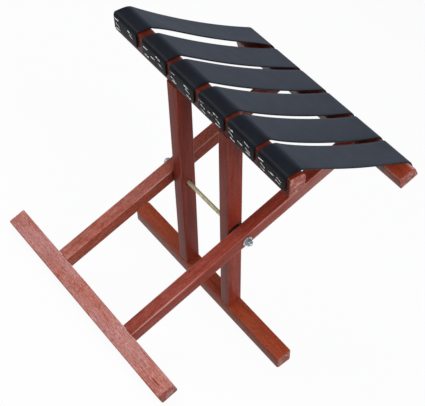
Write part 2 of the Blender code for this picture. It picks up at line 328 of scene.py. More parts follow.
def hardwood(name, grain_turn, dryness_and_sheen, oiliness, rubbing, lightness=1.0):
    """Hardwood with its grain turned, by how dry, amber with oil, rubbed and light it is.

    Dryness also paints sheen on faces that look up, rubbing also paints highlight on the arrises, and a
    lightness below 1 paints shade.
    """
    material, tree, shader, place = start_material(name)
    marks = grain_marks(tree, place, grain_turn)
    settled_dust_and_sheen = dust_and_sheen_share(tree, place)
    colour = layered_colour(tree, marks, settled_dust_and_sheen, dryness_and_sheen, oiliness)

    darkest, lightest = lightness * STREAK_DARKEST, lightness * STREAK_LIGHTEST
    shades = {0: marks["streak"], 1: STREAK_LIMITS[0], 2: STREAK_LIMITS[1], 3: darkest, 4: lightest}
    shade = add_node(tree, "ShaderNodeMapRange", inputs=shades).outputs[0]
    streaked = add_node(tree, "ShaderNodeMix", DARKEN, {0: 1.0, 6: colour, 7: shade}).outputs[2]
    # The arrises are painted paler: partly real wear, partly painted highlight. Rubbing scales both.
    wear_and_highlight = add_node(tree, "ShaderNodeAttribute", {"attribute_name": "wear_and_highlight"}).outputs["Fac"]
    least_wear_and_highlight = WEAR_AND_HIGHLIGHT_LEAST * rubbing
    patches = {0: marks["bleach"], 1: PATCH_LIMITS[0], 2: PATCH_LIMITS[1], 3: least_wear_and_highlight, 4: rubbing}
    patchy = add_node(tree, "ShaderNodeMapRange", inputs=patches).outputs[0]
    rubbed = add_node(tree, "ShaderNodeMath", TIMES, {0: wear_and_highlight, 1: patchy}).outputs[0]
    rub = {0: rubbed, 6: streaked, 7: WORN_HIGHLIGHT_WOOD}
    finished = add_node(tree, "ShaderNodeMix", {"data_type": "RGBA"}, rub)
    tree.links.new(finished.outputs[2], shader.inputs["Base Color"])

    dullness = VARNISH_ROUGHNESS + dryness_and_sheen * (DRY_ROUGHNESS - VARNISH_ROUGHNESS)
    shader.inputs["Roughness"].default_value = dullness
    relief = {"Strength": GRAIN_RELIEF, "Distance": GRAIN_DEPTH, "Height": marks["streak"]}
    bump = add_node(tree, "ShaderNodeBump", inputs=relief)
    tree.links.new(bump.outputs[0], shader.inputs["Normal"])
    shader.inputs["IOR"].default_value = VARNISH_IOR
    shader.inputs["Specular IOR Level"].default_value = VARNISH_MIRROR
    print(name, "with", len(tree.nodes), "nodes")
    return material


# %% The seven hardwoods
FRAME_LEAN = math.radians(38.0)
QUARTER_TURN = math.radians(90.0)
ALONG_Y = (QUARTER_TURN, 0.0, 0.0)
OUTER_TURN = (0.0, FRAME_LEAN, 0.0)
INNER_TURN = (0.0, -FRAME_LEAN, 0.0)
# How dark the wood between the straps is painted, as painted shade.
STRAP_SHADE_DARKNESS = 0.38
# After the turn of its grain: how dry, which also paints sheen, how oily, how rubbed, which also paints
# highlight on the arrises, and, where it isn't 1, how light each wood is drawn; below 1 is painted shade.
SEAT_RAIL_WOOD = hardwood("varnished red hardwood, seat rails", ALONG_Y, 0.0, 0.4, 0.9, 1.15)
# The wood between the straps, painted darker as painted shade.
STRAP_SHADE_WOOD = hardwood("red hardwood painted with shade between the straps", ALONG_Y, 0.0, 0.3, 0.2, STRAP_SHADE_DARKNESS)
RIGHT_FOOT_WOOD = hardwood("varnished red hardwood, right foot rail", ALONG_Y, 0.03, 0.65, 0.2, 1.15)
LEFT_FOOT_WOOD = hardwood("dry red hardwood, left foot rail", ALONG_Y, 0.8, 0.9, 0.5)
OUTER_NEAR_WOOD = hardwood("varnished red hardwood, near outer leg", OUTER_TURN, 0.1, 0.2, 1.4)
OUTER_FAR_WOOD = hardwood("half-dry red hardwood, far outer leg", OUTER_TURN, 0.4, 0.5, 1.0)
INNER_WOOD = hardwood("varnished red hardwood, inner legs", INNER_TURN, 0.08, 0.2, 0.25)

# %% [markdown]
# ## End grain
# Where a rail is sawn off, the pores are seen end on, as dots among curved growth bands, and the sawn face
# drinks more varnish and looks duller. The wood's own pattern could run out at the saw cut, but its long
# marks would look stretched there, so the end faces get a finish of their own.

# %% End grain
END_GRAIN_DARK = linear("#7a3a30")
END_GRAIN_RED = linear("#a05a50")
END_GRAIN_PALE = linear("#c8958b")
GROWTH_BLOT = 7 * MM
# End on too, real pores are 0.3 mm wide. They are drawn four times as wide, so that they still show.
PORE_DOT = 1.3 * MM
# Where in its pattern a blot or a dot starts and is full.
BLOT_LIMITS = (0.48, 0.66)
DOT_LIMITS = (0.48, 0.68)
END_GRAIN_ROUGHNESS = 0.55
END_GRAIN_RELIEF = 0.3
END_GRAIN_DEPTH = 0.3 * MM


def end_grain():
    material, tree, shader, place = start_material("sawn hardwood end grain")
    blotting = {"Vector": place, "Scale": 1 / GROWTH_BLOT, "Detail": 3.0}
    blots = add_node(tree, "ShaderNodeTexNoise", inputs=blotting).outputs["Fac"]
    dotting = {"Vector": place, "Scale": 1 / PORE_DOT, "Detail": 2.0}
    dots = add_node(tree, "ShaderNodeTexNoise", inputs=dotting).outputs["Fac"]
    pale = add_node(tree, "ShaderNodeMapRange", inputs={0: blots, 1: BLOT_LIMITS[0], 2: BLOT_LIMITS[1]})
    tone = {0: pale.outputs[0], 6: END_GRAIN_RED, 7: END_GRAIN_PALE}
    sawn = add_node(tree, "ShaderNodeMix", {"data_type": "RGBA"}, tone)
    open_pores = add_node(tree, "ShaderNodeMapRange", inputs={0: dots, 1: DOT_LIMITS[0], 2: DOT_LIMITS[1]})
    pored = {0: open_pores.outputs[0], 6: sawn.outputs[2], 7: END_GRAIN_DARK}
    colour = add_node(tree, "ShaderNodeMix", {"data_type": "RGBA"}, pored)
    tree.links.new(colour.outputs[2], shader.inputs["Base Color"])
    relief = {"Strength": END_GRAIN_RELIEF, "Distance": END_GRAIN_DEPTH, "Height": dots}
    bump = add_node(tree, "ShaderNodeBump", inputs=relief)
    tree.links.new(bump.outputs[0], shader.inputs["Normal"])
    shader.inputs["Roughness"].default_value = END_GRAIN_ROUGHNESS
    shader.inputs["IOR"].default_value = VARNISH_IOR
    shader.inputs["Specular IOR Level"].default_value = VARNISH_MIRROR
    return material


END_GRAIN = end_grain()
print("end grain blots", GROWTH_BLOT / MM, "mm across")

# %% [markdown]
# ## How a bar of timber is made
# Every wooden piece starts as a box of its planed size. It stands upright at the axle, as on the drawing
# of one frame, its arrises are rounded there, and at the very end the whole bar is leaned about the axle.
# It could be modelled leaning from the start, but upright its faces and edges can be picked by their place
# along plain X, Y and Z.

# %% Shaping a bar
ROUND_SEGMENTS = 5
# How far an edge or a normal follows an axis, as a cosine, when it counts as along it or across it.
PARALLEL = 0.9
CROSSWISE = 0.1


def start_bar(name, size, centre):
    """A box of the bar's size, in edit mode."""
    bpy.ops.object.select_all(action="DESELECT")
    bpy.ops.mesh.primitive_cube_add(size=1.0, location=centre, scale=size)
    bar = bpy.context.object
    bar.name = name
    bpy.ops.object.transform_apply(location=True, rotation=True, scale=True)
    bpy.ops.object.mode_set(mode="EDIT")
    return bar


def pick(kind, wanted):
    """Select the edges, by middle and direction, or the faces, by centre and normal, that are wanted."""
    bpy.ops.mesh.select_mode(type=kind)
    bpy.ops.mesh.select_all(action="DESELECT")
    mesh = bpy.context.object.data
    form = bmesh.from_edit_mesh(mesh)
    if kind == "EDGE":
        for edge in form.edges:
            first, second = (vertex.co for vertex in edge.verts)
            edge.select = wanted((first + second) / 2, (second - first).normalized())
    else:
        for face in form.faces:
            face.select = wanted(face.calc_center_median(), face.normal)
    form.select_flush_mode()
    bmesh.update_edit_mesh(mesh)


def round_picked(radius, segments=ROUND_SEGMENTS):
    """Round the picked edges in edit mode."""
    bpy.ops.mesh.bevel(offset=radius, segments=segments, affect="EDGES", offset_type="OFFSET")


print("arrises rounded in", ROUND_SEGMENTS, "steps")


# %% Cutting and leaning a bar
def cut_with(piece, cutter, operation="DIFFERENCE"):
    """Cut the cutter's shape out of the piece, or keep only what both share, and remove the cutter."""
    cut = piece.modifiers.new("cut", "BOOLEAN")
    cut.operation = operation
    cut.object = cutter
    bpy.context.view_layer.objects.active = piece
    bpy.ops.object.modifier_apply(modifier=cut.name)
    bpy.data.objects.remove(cutter, do_unlink=True)


def lean_about_axle(piece, angle):
    """Lean an upright piece about the axle, to the right by a positive angle, and stay in edit mode."""
    bpy.context.view_layer.objects.active = piece
    bpy.ops.object.mode_set(mode="EDIT")
    bpy.ops.mesh.select_all(action="SELECT")
    # With no window open, this operator turns the other way.
    bpy.ops.transform.rotate(value=-angle, orient_axis="Y", center_override=AXLE)


print("frames lean", round(math.degrees(FRAME_LEAN), 1), "degrees to each side")

# %% Wear and painted highlight, dust and painted sheen
WEAR_AND_HIGHLIGHT_GAIN = 3.2
# The outsides of the outer legs get this wear and painted highlight too, from not at all at the foot to
# this much at the top.
WEAR_AND_HIGHLIGHT_OUTSIDE = 0.31
LEG_REACH = 440 * MM
# A length that counts as none, and how far a normal may lean on a face that counts as flat.
NO_LENGTH = 0.001
FLATNESS = 0.01
DUST_AND_SHEEN_ON_SIDES = 0.25
DUST_AND_SHEEN_GAIN = 1.3


def mark_wear_and_highlight(bar, lengthwise, outside=None):
    """Store wear and painted highlight: 1 on the long arrises, where normals lean off the bar's sides, and
    some on its outside.
    """
    wear_and_highlight = bar.data.attributes.new("wear_and_highlight", "FLOAT", "POINT")
    for vertex, mark in zip(bar.data.vertices, wear_and_highlight.data):
        across = vertex.normal.cross(lengthwise)
        flat_share = max(abs(share) for share in across) / max(across.length, NO_LENGTH)
        mark.value = min(1.0, WEAR_AND_HIGHLIGHT_GAIN * (1.0 - flat_share))
        if outside and vertex.normal.dot(outside) > flat_share * across.length - FLATNESS:
            height_share = 0.5 + (vertex.co - AXLE).dot(lengthwise) / LEG_REACH
            mark.value = max(mark.value, WEAR_AND_HIGHLIGHT_OUTSIDE * height_share)


def mark_dust_and_sheen_faces(bar):
    """Store on each face how much of the dust and painted sheen it holds, by how far it looks up."""
    dust_and_sheen_facing = bar.data.attributes.new("dust_and_sheen_facing", "FLOAT", "FACE")
    for face, mark in zip(bar.data.polygons, dust_and_sheen_facing.data):
        mark.value = min(1.0, DUST_AND_SHEEN_ON_SIDES + DUST_AND_SHEEN_GAIN * max(0.0, face.normal.z))


print("dust on the sides", DUST_AND_SHEEN_ON_SIDES, "of that on top")

# %% Finishing a piece
SHARP_ANGLE = math.radians(35.0)


def smooth(piece, sharp_angle):
    """Shade a piece smooth, apart from the edges that are sharper than the angle."""
    bpy.ops.object.select_all(action="DESELECT")
    piece.select_set(True)
    bpy.context.view_layer.objects.active = piece
    bpy.ops.object.shade_smooth_by_angle(angle=sharp_angle)


def finish_piece(piece, body, slot, *nodes):
    """Shade the piece, set it on its body and let it stand for its nodes."""
    smooth(piece, SHARP_ANGLE)
    piece.data.name = piece.name
    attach(piece, body)
    if nodes:
        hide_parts(*nodes)
    print(piece.name, len(piece.data.polygons), "faces on", body)


print("edges over", round(math.degrees(SHARP_ANGLE)), "degrees stay sharp")

# %% [markdown]
# ## A rail that is out of level
# The photograph shows a hand-made stool: its left seat rail stands a little high, and highest at its far
# end. The rail alone could be turned, but that would pull it off its legs and its straps. So one function
# says how far a point of the rail is lifted, and each piece that meets it takes a share of that: all of it
# on the rail, none at the axle or on the other rail.

# %% Out of level
RAIL_LIFT = 1.5 * MM
RAIL_TILT = math.radians(0.92)
UPWARDS = Vector((0.0, 0.0, 1.0))


def set_out_of_level(piece, share, way=UPWARDS):
    """Move each point of a piece by its share of the lift that the left seat rail has there."""
    for vertex in piece.data.vertices:
        lift = RAIL_LIFT + math.tan(RAIL_TILT) * vertex.co.y
        vertex.co += share(vertex.co) * lift * way


print("left seat rail tilted", round(math.degrees(RAIL_TILT), 2), "degrees")

# %% [markdown]
# ## Legs
# Four legs of 25 by 20 mm timber. Each has a square shoulder and a short tenon at both ends, which sit in
# the rails, and a hole for the axle half way. The tenons could be boxes of their own, but a joiner cuts
# them from the leg itself, so its end face is inset to the tenon's section and drawn out. The hole is cut
# last, with a rod-shaped cutter.

# %% Tenons and holes
LEG_DEPTH = 25 * MM
LEG_THICKNESS = 20 * MM
TENON_THICKNESS = 11 * MM
TENON_DEPTH = 12 * MM
TENON_LENGTH = 18 * MM
BORE_DIAMETER = 6.6 * MM
BORE_SIDES = 40
# Where the axle has worked in the inner legs, the mouth of its hole is worn wide.
WORN_MOUTH_DIAMETER = 11 * MM
WORN_MOUTH_DEPTH = 5 * MM


def draw_tenons(middle):
    """Inset the end faces of the leg in edit mode, and draw them out as tenons."""
    shrink = (TENON_DEPTH / LEG_DEPTH, TENON_THICKNESS / LEG_THICKNESS, 1.0)
    for end in (-1, 1):
        pick("FACE", lambda at, normal: normal.z * end > PARALLEL)
        bpy.ops.mesh.extrude_region_move()
        bpy.ops.transform.resize(value=shrink, center_override=middle)
        bpy.ops.mesh.extrude_region_move(TRANSFORM_OT_translate={"value": (0.0, 0.0, end * TENON_LENGTH)})


def bore_leg(leg, y):
    """Cut the axle's hole through a leg."""
    bpy.ops.mesh.primitive_cylinder_add(
        vertices=BORE_SIDES, radius=BORE_DIAMETER / 2, depth=2 * LEG_THICKNESS,
        location=AXLE + Vector((0.0, y, 0.0)), rotation=ALONG_Y,
    )
    cut_with(leg, bpy.context.object)


def widen_mouth(leg, y):
    """Wear the mouth of a leg's hole wide, on the side that faces the middle of the stool."""
    mouth_y = y - math.copysign(LEG_THICKNESS / 2 - WORN_MOUTH_DEPTH / 2, y)
    bpy.ops.mesh.primitive_cone_add(
        vertices=BORE_SIDES, depth=WORN_MOUTH_DEPTH,
        radius1=WORN_MOUTH_DIAMETER / 2, radius2=BORE_DIAMETER / 2,
        location=AXLE + Vector((0.0, mouth_y, 0.0)), rotation=(math.copysign(QUARTER_TURN, -y), 0.0, 0.0),
    )
    cut_with(leg, bpy.context.object)


print("tenons", TENON_LENGTH / MM, "mm long")

# %% Legs
LEG_ROUND = 2.2 * MM
AXLE_TO_SEAT_RAIL = 204 * MM
AXLE_TO_FOOT_RAIL = 202.5 * MM
SHOULDER_GAP = 0.3 * MM
ALONG_LEG = Vector((0.0, 0.0, 1.0))


def middle_y(node):
    """Where along the rails the middle of a node is."""
    low_corner, high_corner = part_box(node)
    return (low_corner.y + high_corner.y) / 2


def model_leg(name, lean, body, wood):
    """One leg with its tenons and its hole, leaned to its place on its frame."""
    y = middle_y(name)
    length = AXLE_TO_SEAT_RAIL + AXLE_TO_FOOT_RAIL - 2 * SHOULDER_GAP
    middle = AXLE + Vector((0.0, y, (AXLE_TO_SEAT_RAIL - AXLE_TO_FOOT_RAIL) / 2))
    leg = start_bar(name + "_timber", (LEG_DEPTH, LEG_THICKNESS, length), middle)
    pick("EDGE", lambda at, along: abs(along.z) > PARALLEL)
    round_picked(LEG_ROUND)
    draw_tenons(middle)
    bpy.ops.object.mode_set(mode="OBJECT")
    outside = Vector((0.0, math.copysign(1.0, y), 0.0)) if body == "outer_frame" else None
    mark_wear_and_highlight(leg, ALONG_LEG, outside)
    bore_leg(leg, y)
    if body == "inner_frame":
        widen_mouth(leg, y)
    lean_about_axle(leg, lean)
    bpy.ops.object.mode_set(mode="OBJECT")
    if body == "inner_frame":
        climb = AXLE_TO_SEAT_RAIL * math.cos(lean)
        lengthwise = math.cos(lean) * Vector((math.sin(lean), 0.0, math.cos(lean)))
        set_out_of_level(leg, lambda at: max(0.0, min(1.0, (at.z - AXLE.z) / climb)), lengthwise)
    mark_dust_and_sheen_faces(leg)
    leg.data.materials.append(wood)
    finish_piece(leg, body, "hardwood", name)


model_leg("outer_leg_near", FRAME_LEAN, "outer_frame", OUTER_NEAR_WOOD)
model_leg("outer_leg_far", FRAME_LEAN, "outer_frame", OUTER_FAR_WOOD)
model_leg("inner_leg_near", -FRAME_LEAN, "inner_frame", INNER_WOOD)
model_leg("inner_leg_far", -FRAME_LEAN, "inner_frame", INNER_WOOD)

# %% [markdown]
# ## Seat rails
# A seat rail is 25 mm deep and 33 mm high. Its outer top arris is only eased, because the strap is pulled
# hard over it. Its top falls 5 mm to the inner arris, which is rounded more, because the sitter's weight
# bends the strap there. The long arrises differ, so they could not be rounded by one bevel, and each gets
# its own. The mortises for the tenons are cut from below. The wood between the straps is painted darker,
# as painted shade, and only the right rail's near end is left without it.

# %% Mortises and end grain
# The order of a rail's finishes in its list of materials.
MAIN_FINISH, END_FINISH, STRAP_SHADE_FINISH = range(3)
# How much of a rounded end, by its depth, shows end grain.
END_GRAIN_SHARE = 1 / 3


def cut_mortises(rail, legs, face_z):
    """Cut the mortises of a frame's two legs into the rail face that is face_z above the axle."""
    size = (TENON_DEPTH + 2 * SHOULDER_GAP, TENON_THICKNESS + 2 * SHOULDER_GAP, 2 * TENON_LENGTH)
    for leg in legs:
        place = (AXLE.x, middle_y(leg), AXLE.z + face_z)
        bpy.ops.mesh.primitive_cube_add(size=1.0, location=place, scale=size)
        cut_with(rail, bpy.context.object)


def give_end_grain(rail, half_length, end_round, wood):
    """Give a rail its wood, and end grain to the faces at its ends."""
    rail.data.materials.append(wood)
    rail.data.materials.append(END_GRAIN)
    end_from = half_length - END_GRAIN_SHARE * end_round
    for face in rail.data.polygons:
        face.material_index = END_FINISH if abs(face.center.y) > end_from else MAIN_FINISH


print("end grain on", round(END_GRAIN_SHARE, 2), "of a rounded end")

# %% Seat rails
SEAT_RAIL_HEIGHT = 33 * MM
SEAT_RAIL_DEPTH = 25 * MM
SEAT_RAIL_FALL = 5 * MM
SEAT_RAIL_OUTER_ROUND = 3 * MM
SEAT_RAIL_INNER_ROUND = 7.5 * MM
SEAT_RAIL_LOWER_ROUND = 2 * MM
SEAT_RAIL_END_ROUND = 1.2 * MM
END_SEGMENTS = 3
# How much of the right rail's near end is left without the painted shade.
UNSHADED_END = 32 * MM
# An edge this near to a face lies on it.
ON_FACE = 0.5 * MM
ALONG_RAIL = Vector((0.0, 1.0, 0.0))


def mark_off(y):
    """Run a line of edges round the piece in edit mode, at a place along the rails."""
    bpy.ops.mesh.select_all(action="SELECT")
    bpy.ops.mesh.bisect(plane_co=(0.0, y, 0.0), plane_no=ALONG_RAIL)


def model_seat_rail(name, outward, lean, body, legs, unshaded_end):
    """A seat rail. Outward is 1 or -1, for the side along X that faces away from the seat."""
    half_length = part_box(name)[1].y
    half_depth = SEAT_RAIL_DEPTH / 2
    centre_z = AXLE.z + AXLE_TO_SEAT_RAIL + SEAT_RAIL_HEIGHT / 2
    size = (SEAT_RAIL_DEPTH, 2 * half_length, SEAT_RAIL_HEIGHT)
    rail = start_bar(name + "_timber", size, (0.0, 0.0, centre_z))

    def pick_top_arris(side):
        on_side = half_depth - ON_FACE
        pick("EDGE", lambda at, along: (
            abs(along.y) > PARALLEL and at.z > centre_z and at.x * side > on_side
        ))

    pick_top_arris(-outward)
    bpy.ops.transform.translate(value=(0.0, 0.0, -SEAT_RAIL_FALL))
    for side, radius in ((outward, SEAT_RAIL_OUTER_ROUND), (-outward, SEAT_RAIL_INNER_ROUND)):
        pick_top_arris(side)
        round_picked(radius, 2 * ROUND_SEGMENTS)
    underside = centre_z - SEAT_RAIL_HEIGHT / 2
    pick("EDGE", lambda at, along: abs(along.y) > PARALLEL and at.z < underside + ON_FACE)
    round_picked(SEAT_RAIL_LOWER_ROUND)
    pick("EDGE", lambda at, along: abs(along.y) < CROSSWISE and abs(at.y) > half_length - ON_FACE)
    round_picked(SEAT_RAIL_END_ROUND, END_SEGMENTS)
    # Between the straps the rail gets the darker wood, as painted shade.
    strap_shade_from = unshaded_end - half_length
    strap_shade_to = half_length - SEAT_RAIL_END_ROUND
    mark_off(strap_shade_from)
    mark_off(strap_shade_to)
    bpy.ops.object.mode_set(mode="OBJECT")
    mark_wear_and_highlight(rail, ALONG_RAIL)
    give_end_grain(rail, half_length, SEAT_RAIL_END_ROUND, SEAT_RAIL_WOOD)
    rail.data.materials.append(STRAP_SHADE_WOOD)
    for face in rail.data.polygons:
        if strap_shade_from < face.center.y < strap_shade_to:
            face.material_index = STRAP_SHADE_FINISH
    cut_mortises(rail, legs, AXLE_TO_SEAT_RAIL)
    lean_about_axle(rail, lean)
    bpy.ops.object.mode_set(mode="OBJECT")
    if body == "inner_frame":
        set_out_of_level(rail, lambda at: 1.0)
    mark_dust_and_sheen_faces(rail)
    finish_piece(rail, body, "hardwood", name)


OUTER_LEGS = ("outer_leg_near", "outer_leg_far")
INNER_LEGS = ("inner_leg_near", "inner_leg_far")
model_seat_rail("seat_rail_right", 1, FRAME_LEAN, "outer_frame", OUTER_LEGS, UNSHADED_END)
model_seat_rail("seat_rail_left", -1, -FRAME_LEAN, "inner_frame", INNER_LEGS, SEAT_RAIL_END_ROUND)

# %% [markdown]
# ## Foot rails
# The foot rails are nearly square, with all arrises eased, and the right one's ends are knocked round. Two
# bevels after each other would fold over at the corners, so every edge gets its share of the radius as a
# bevel weight, and one Bevel modifier rounds them together. Once leaned, the lowest arris is planed off
# where it meets the floor, which a bisect at floor level does. The left foot rail also has a short drying
# check near its end, an opened crack along the grain, cut by a long thin spindle.

# %% Foot rails
FOOT_RAIL_HEIGHT = 26.5 * MM
FOOT_RAIL_DEPTH = 26 * MM
FOOT_RAIL_ROUND = 1.8 * MM
FOOT_RAIL_END_ROUND = 2.2 * MM
KNOCKED_END_ROUND = 3.6 * MM
# How exactly the floor cut keeps to the floor.
FLOOR_EXACTNESS = MM / 1000
CHECK_LENGTH = 17 * MM
CHECK_WIDTH = 1.3 * MM
CHECK_DEPTH = 3 * MM
CHECK_FROM_END = 20 * MM
CHECK_BELOW_MIDDLE = 2 * MM


def ease_foot_rail(rail, end_round):
    """Round the long arrises and, more, the ends of the rail in edit mode, and leave edit mode."""
    for lengthwise, radius in ((True, FOOT_RAIL_ROUND), (False, end_round)):
        pick("EDGE", lambda at, along: (abs(along.y) > PARALLEL) == lengthwise)
        bpy.ops.transform.edge_bevelweight(value=radius / end_round)
    bpy.ops.object.mode_set(mode="OBJECT")
    ease = rail.modifiers.new("eased arrises", "BEVEL")
    ease.limit_method = "WEIGHT"
    ease.width = end_round
    ease.segments = ROUND_SEGMENTS
    bpy.ops.object.modifier_apply(modifier=ease.name)


def model_foot_rail(name, outward, lean, body, legs, wood, end_round, has_check):
    """A foot rail. Outward is 1 or -1, for the side along X that faces away from the stool."""
    half_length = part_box(name)[1].y
    centre_z = AXLE.z - AXLE_TO_FOOT_RAIL - FOOT_RAIL_HEIGHT / 2
    size = (FOOT_RAIL_DEPTH, 2 * half_length, FOOT_RAIL_HEIGHT)
    rail = start_bar(name + "_timber", size, (0.0, 0.0, centre_z))
    ease_foot_rail(rail, end_round)
    mark_wear_and_highlight(rail, ALONG_RAIL)
    give_end_grain(rail, half_length, end_round, wood)
    cut_mortises(rail, legs, -AXLE_TO_FOOT_RAIL)
    if has_check:
        place = (outward * FOOT_RAIL_DEPTH / 2, CHECK_FROM_END - half_length, centre_z - CHECK_BELOW_MIDDLE)
        spindle = (2 * CHECK_DEPTH, CHECK_LENGTH, CHECK_WIDTH)
        bpy.ops.mesh.primitive_ico_sphere_add(subdivisions=2, radius=0.5, location=place, scale=spindle)
        cut_with(rail, bpy.context.object)
    lean_about_axle(rail, lean)
    bpy.ops.mesh.bisect(
        plane_co=(0.0, 0.0, 0.0), plane_no=UPWARDS,
        use_fill=True, clear_inner=True, threshold=FLOOR_EXACTNESS,
    )
    bpy.ops.object.mode_set(mode="OBJECT")
    mark_dust_and_sheen_faces(rail)
    finish_piece(rail, body, "hardwood", name)


model_foot_rail(
    "foot_rail_left", -1, FRAME_LEAN, "outer_frame", OUTER_LEGS, LEFT_FOOT_WOOD, FOOT_RAIL_END_ROUND, True
)
model_foot_rail(
    "foot_rail_right", 1, -FRAME_LEAN, "inner_frame", INNER_LEGS, RIGHT_FOOT_WOOD, KNOCKED_END_ROUND, False
)

# %% [markdown]
# ## Strap leather
# The straps are vegetable-tanned strap leather, dyed black through and rolled smooth. A plain black would
# look like rubber, because black leather is never quite black: its waxed face mirrors the sky as a
# blue-grey sheen, and its fine pebbled grain breaks that sheen up. So the colour is a dark slate, the
# sheen comes from the shader, and the grain is a shallow bump. The mirror is painted weaker where the
# leather looks down, so the strap ends on the rails' outer faces get a painted, duller reflection.

# %% Strap leather
LEATHER_BLACK = linear("#11141a")
LEATHER_RUBBED = linear("#151a21")
# Real pebbles are about half a millimetre across, and are drawn twice as wide so that they show.
PEBBLE_SIZE = 1.1 * MM
PEBBLE_RELIEF = 0.25
PEBBLE_DEPTH = 0.15 * MM
RUB_SIZE = 22 * MM
# Where in the rubbing its colour and its roughness start and are full.
RUB_COLOUR_LIMITS = (0.38, 0.66)
RUB_ROUGHNESS_LIMITS = (0.3, 0.7)
LEATHER_SMOOTHEST = 0.43
LEATHER_ROUGHEST = 0.48
LEATHER_IOR = 1.48
# The leather's mirror where it looks up, and the weaker mirror painted where it looks down.
LEATHER_MIRROR = 0.17
LEATHER_DOWNWARD_MIRROR = 0.055


def strap_leather():
    material, tree, shader, place = start_material("rolled black strap leather")
    pebble = add_node(tree, "ShaderNodeTexVoronoi", inputs={"Vector": place, "Scale": 1 / PEBBLE_SIZE})
    rubbing = {"Vector": place, "Scale": 1 / RUB_SIZE, "Detail": 5.0}
    rub = add_node(tree, "ShaderNodeTexNoise", inputs=rubbing).outputs["Fac"]
    start, full = RUB_COLOUR_LIMITS
    rubbed = add_node(tree, "ShaderNodeMapRange", inputs={0: rub, 1: start, 2: full}).outputs[0]
    blacks = {0: rubbed, 6: LEATHER_BLACK, 7: LEATHER_RUBBED}
    colour = add_node(tree, "ShaderNodeMix", {"data_type": "RGBA"}, blacks)
    tree.links.new(colour.outputs[2], shader.inputs["Base Color"])
    start, full = RUB_ROUGHNESS_LIMITS
    roughening = {0: rub, 1: start, 2: full, 3: LEATHER_SMOOTHEST, 4: LEATHER_ROUGHEST}
    rough = add_node(tree, "ShaderNodeMapRange", inputs=roughening)
    tree.links.new(rough.outputs[0], shader.inputs["Roughness"])
    relief = {"Strength": PEBBLE_RELIEF, "Distance": PEBBLE_DEPTH, "Height": pebble.outputs["Distance"]}
    bump = add_node(tree, "ShaderNodeBump", inputs=relief)
    tree.links.new(bump.outputs[0], shader.inputs["Normal"])
    shader.inputs["IOR"].default_value = LEATHER_IOR
    # How strongly the leather mirrors is painted by how far it looks up.
    facing_sheen = add_node(tree, "ShaderNodeAttribute", {"attribute_name": "facing_sheen"}).outputs["Fac"]
    sheen_by_facing = {0: facing_sheen, 3: LEATHER_DOWNWARD_MIRROR, 4: LEATHER_MIRROR}
    mirror = add_node(tree, "ShaderNodeMapRange", inputs=sheen_by_facing)
    tree.links.new(mirror.outputs[0], shader.inputs["Specular IOR Level"])
    return material


LEATHER = strap_leather()
print("leather pebble", PEBBLE_SIZE / MM, "mm")

# %% [markdown]
# ## Seat straps
# A strap is a strip of 2 mm leather, 50 mm wide, that starts low on the right rail's outer face, goes over
# its top, spans the seat with a slight sag and comes down the left rail's outer face. Cloth simulation
# would wrinkle it, and real strap leather doesn't wrinkle, so it is drawn out by hand: one short edge is
# extruded step by step along the path, Solidify thickens the strip, and Bevel eases its cut edges.

# %% Strap bends
STRAP_SAG = 5 * MM
STRAP_LIFT = 0.3 * MM
# Thick leather doesn't lie dead flat on the rail's top, but crowns over it in a wide arc, and it bends
# over the inner arris more gently than the arris is rounded.
STRAP_TOP_RADIUS = 120 * MM
STRAP_BEND_RADIUS = 22 * MM
RIGHT_RAIL_LEAN = Matrix.Rotation(-FRAME_LEAN, 2)


def strap_bends():
    """A strap's arcs on the right rail before it leans, by centre, radius, start and stop.

    The second value is the slope at which the strap then leaves the rail.
    """
    half_depth = SEAT_RAIL_DEPTH / 2
    rail_top = AXLE_TO_SEAT_RAIL + SEAT_RAIL_HEIGHT
    outer_radius = SEAT_RAIL_OUTER_ROUND + STRAP_LIFT
    inner_radius = STRAP_BEND_RADIUS + STRAP_LIFT
    fall = math.atan2(SEAT_RAIL_FALL, SEAT_RAIL_DEPTH)
    outer_drop = SEAT_RAIL_OUTER_ROUND * (1 + math.sin(fall)) / math.cos(fall)
    inner_drop = SEAT_RAIL_INNER_ROUND * (1 - math.sin(fall)) / math.cos(fall) + SEAT_RAIL_FALL
    outer = Vector((half_depth - SEAT_RAIL_OUTER_ROUND, rail_top - outer_drop))
    arris = Vector((SEAT_RAIL_INNER_ROUND - half_depth, rail_top - inner_drop))
    slope = math.atan2(2 * STRAP_SAG, (RIGHT_RAIL_LEAN @ arris).x)
    leaving = math.pi / 2 + FRAME_LEAN + slope
    # The bend touches the rounded arris half way round, and stands off it before and after.
    half_way = (math.pi / 2 + fall + leaving) / 2
    stand_off = STRAP_BEND_RADIUS - SEAT_RAIL_INNER_ROUND
    inner = arris - stand_off * Vector((math.cos(half_way), math.sin(half_way)))
    # The wide arc touches both bends, so its centre is a known distance from each of theirs.
    to_outer = STRAP_TOP_RADIUS - outer_radius
    to_inner = STRAP_TOP_RADIUS - inner_radius
    apart = inner - outer
    along = (apart.length_squared + to_outer**2 - to_inner**2) / (2 * apart.length)
    aside = math.sqrt(to_outer**2 - along**2)
    crown = outer + apart.normalized() * along + Vector((-apart.y, apart.x)).normalized() * aside
    crown_start = math.atan2(outer.y - crown.y, outer.x - crown.x)
    crown_end = math.atan2(inner.y - crown.y, inner.x - crown.x)
    bends = (
        (outer, outer_radius, 0.0, crown_start),
        (crown, STRAP_TOP_RADIUS, crown_start, crown_end),
        (inner, inner_radius, crown_end, leaving),
    )
    return bends, slope


print("strap crown", STRAP_TOP_RADIUS / MM, "mm in radius")

# %% Strap path
STRAP_ABOVE_RAIL_EDGE = 8 * MM
BEND_STEPS = 8
SPAN_STEPS = 16
# Points nearer than this are one point.
SAME_POINT = MM / 100


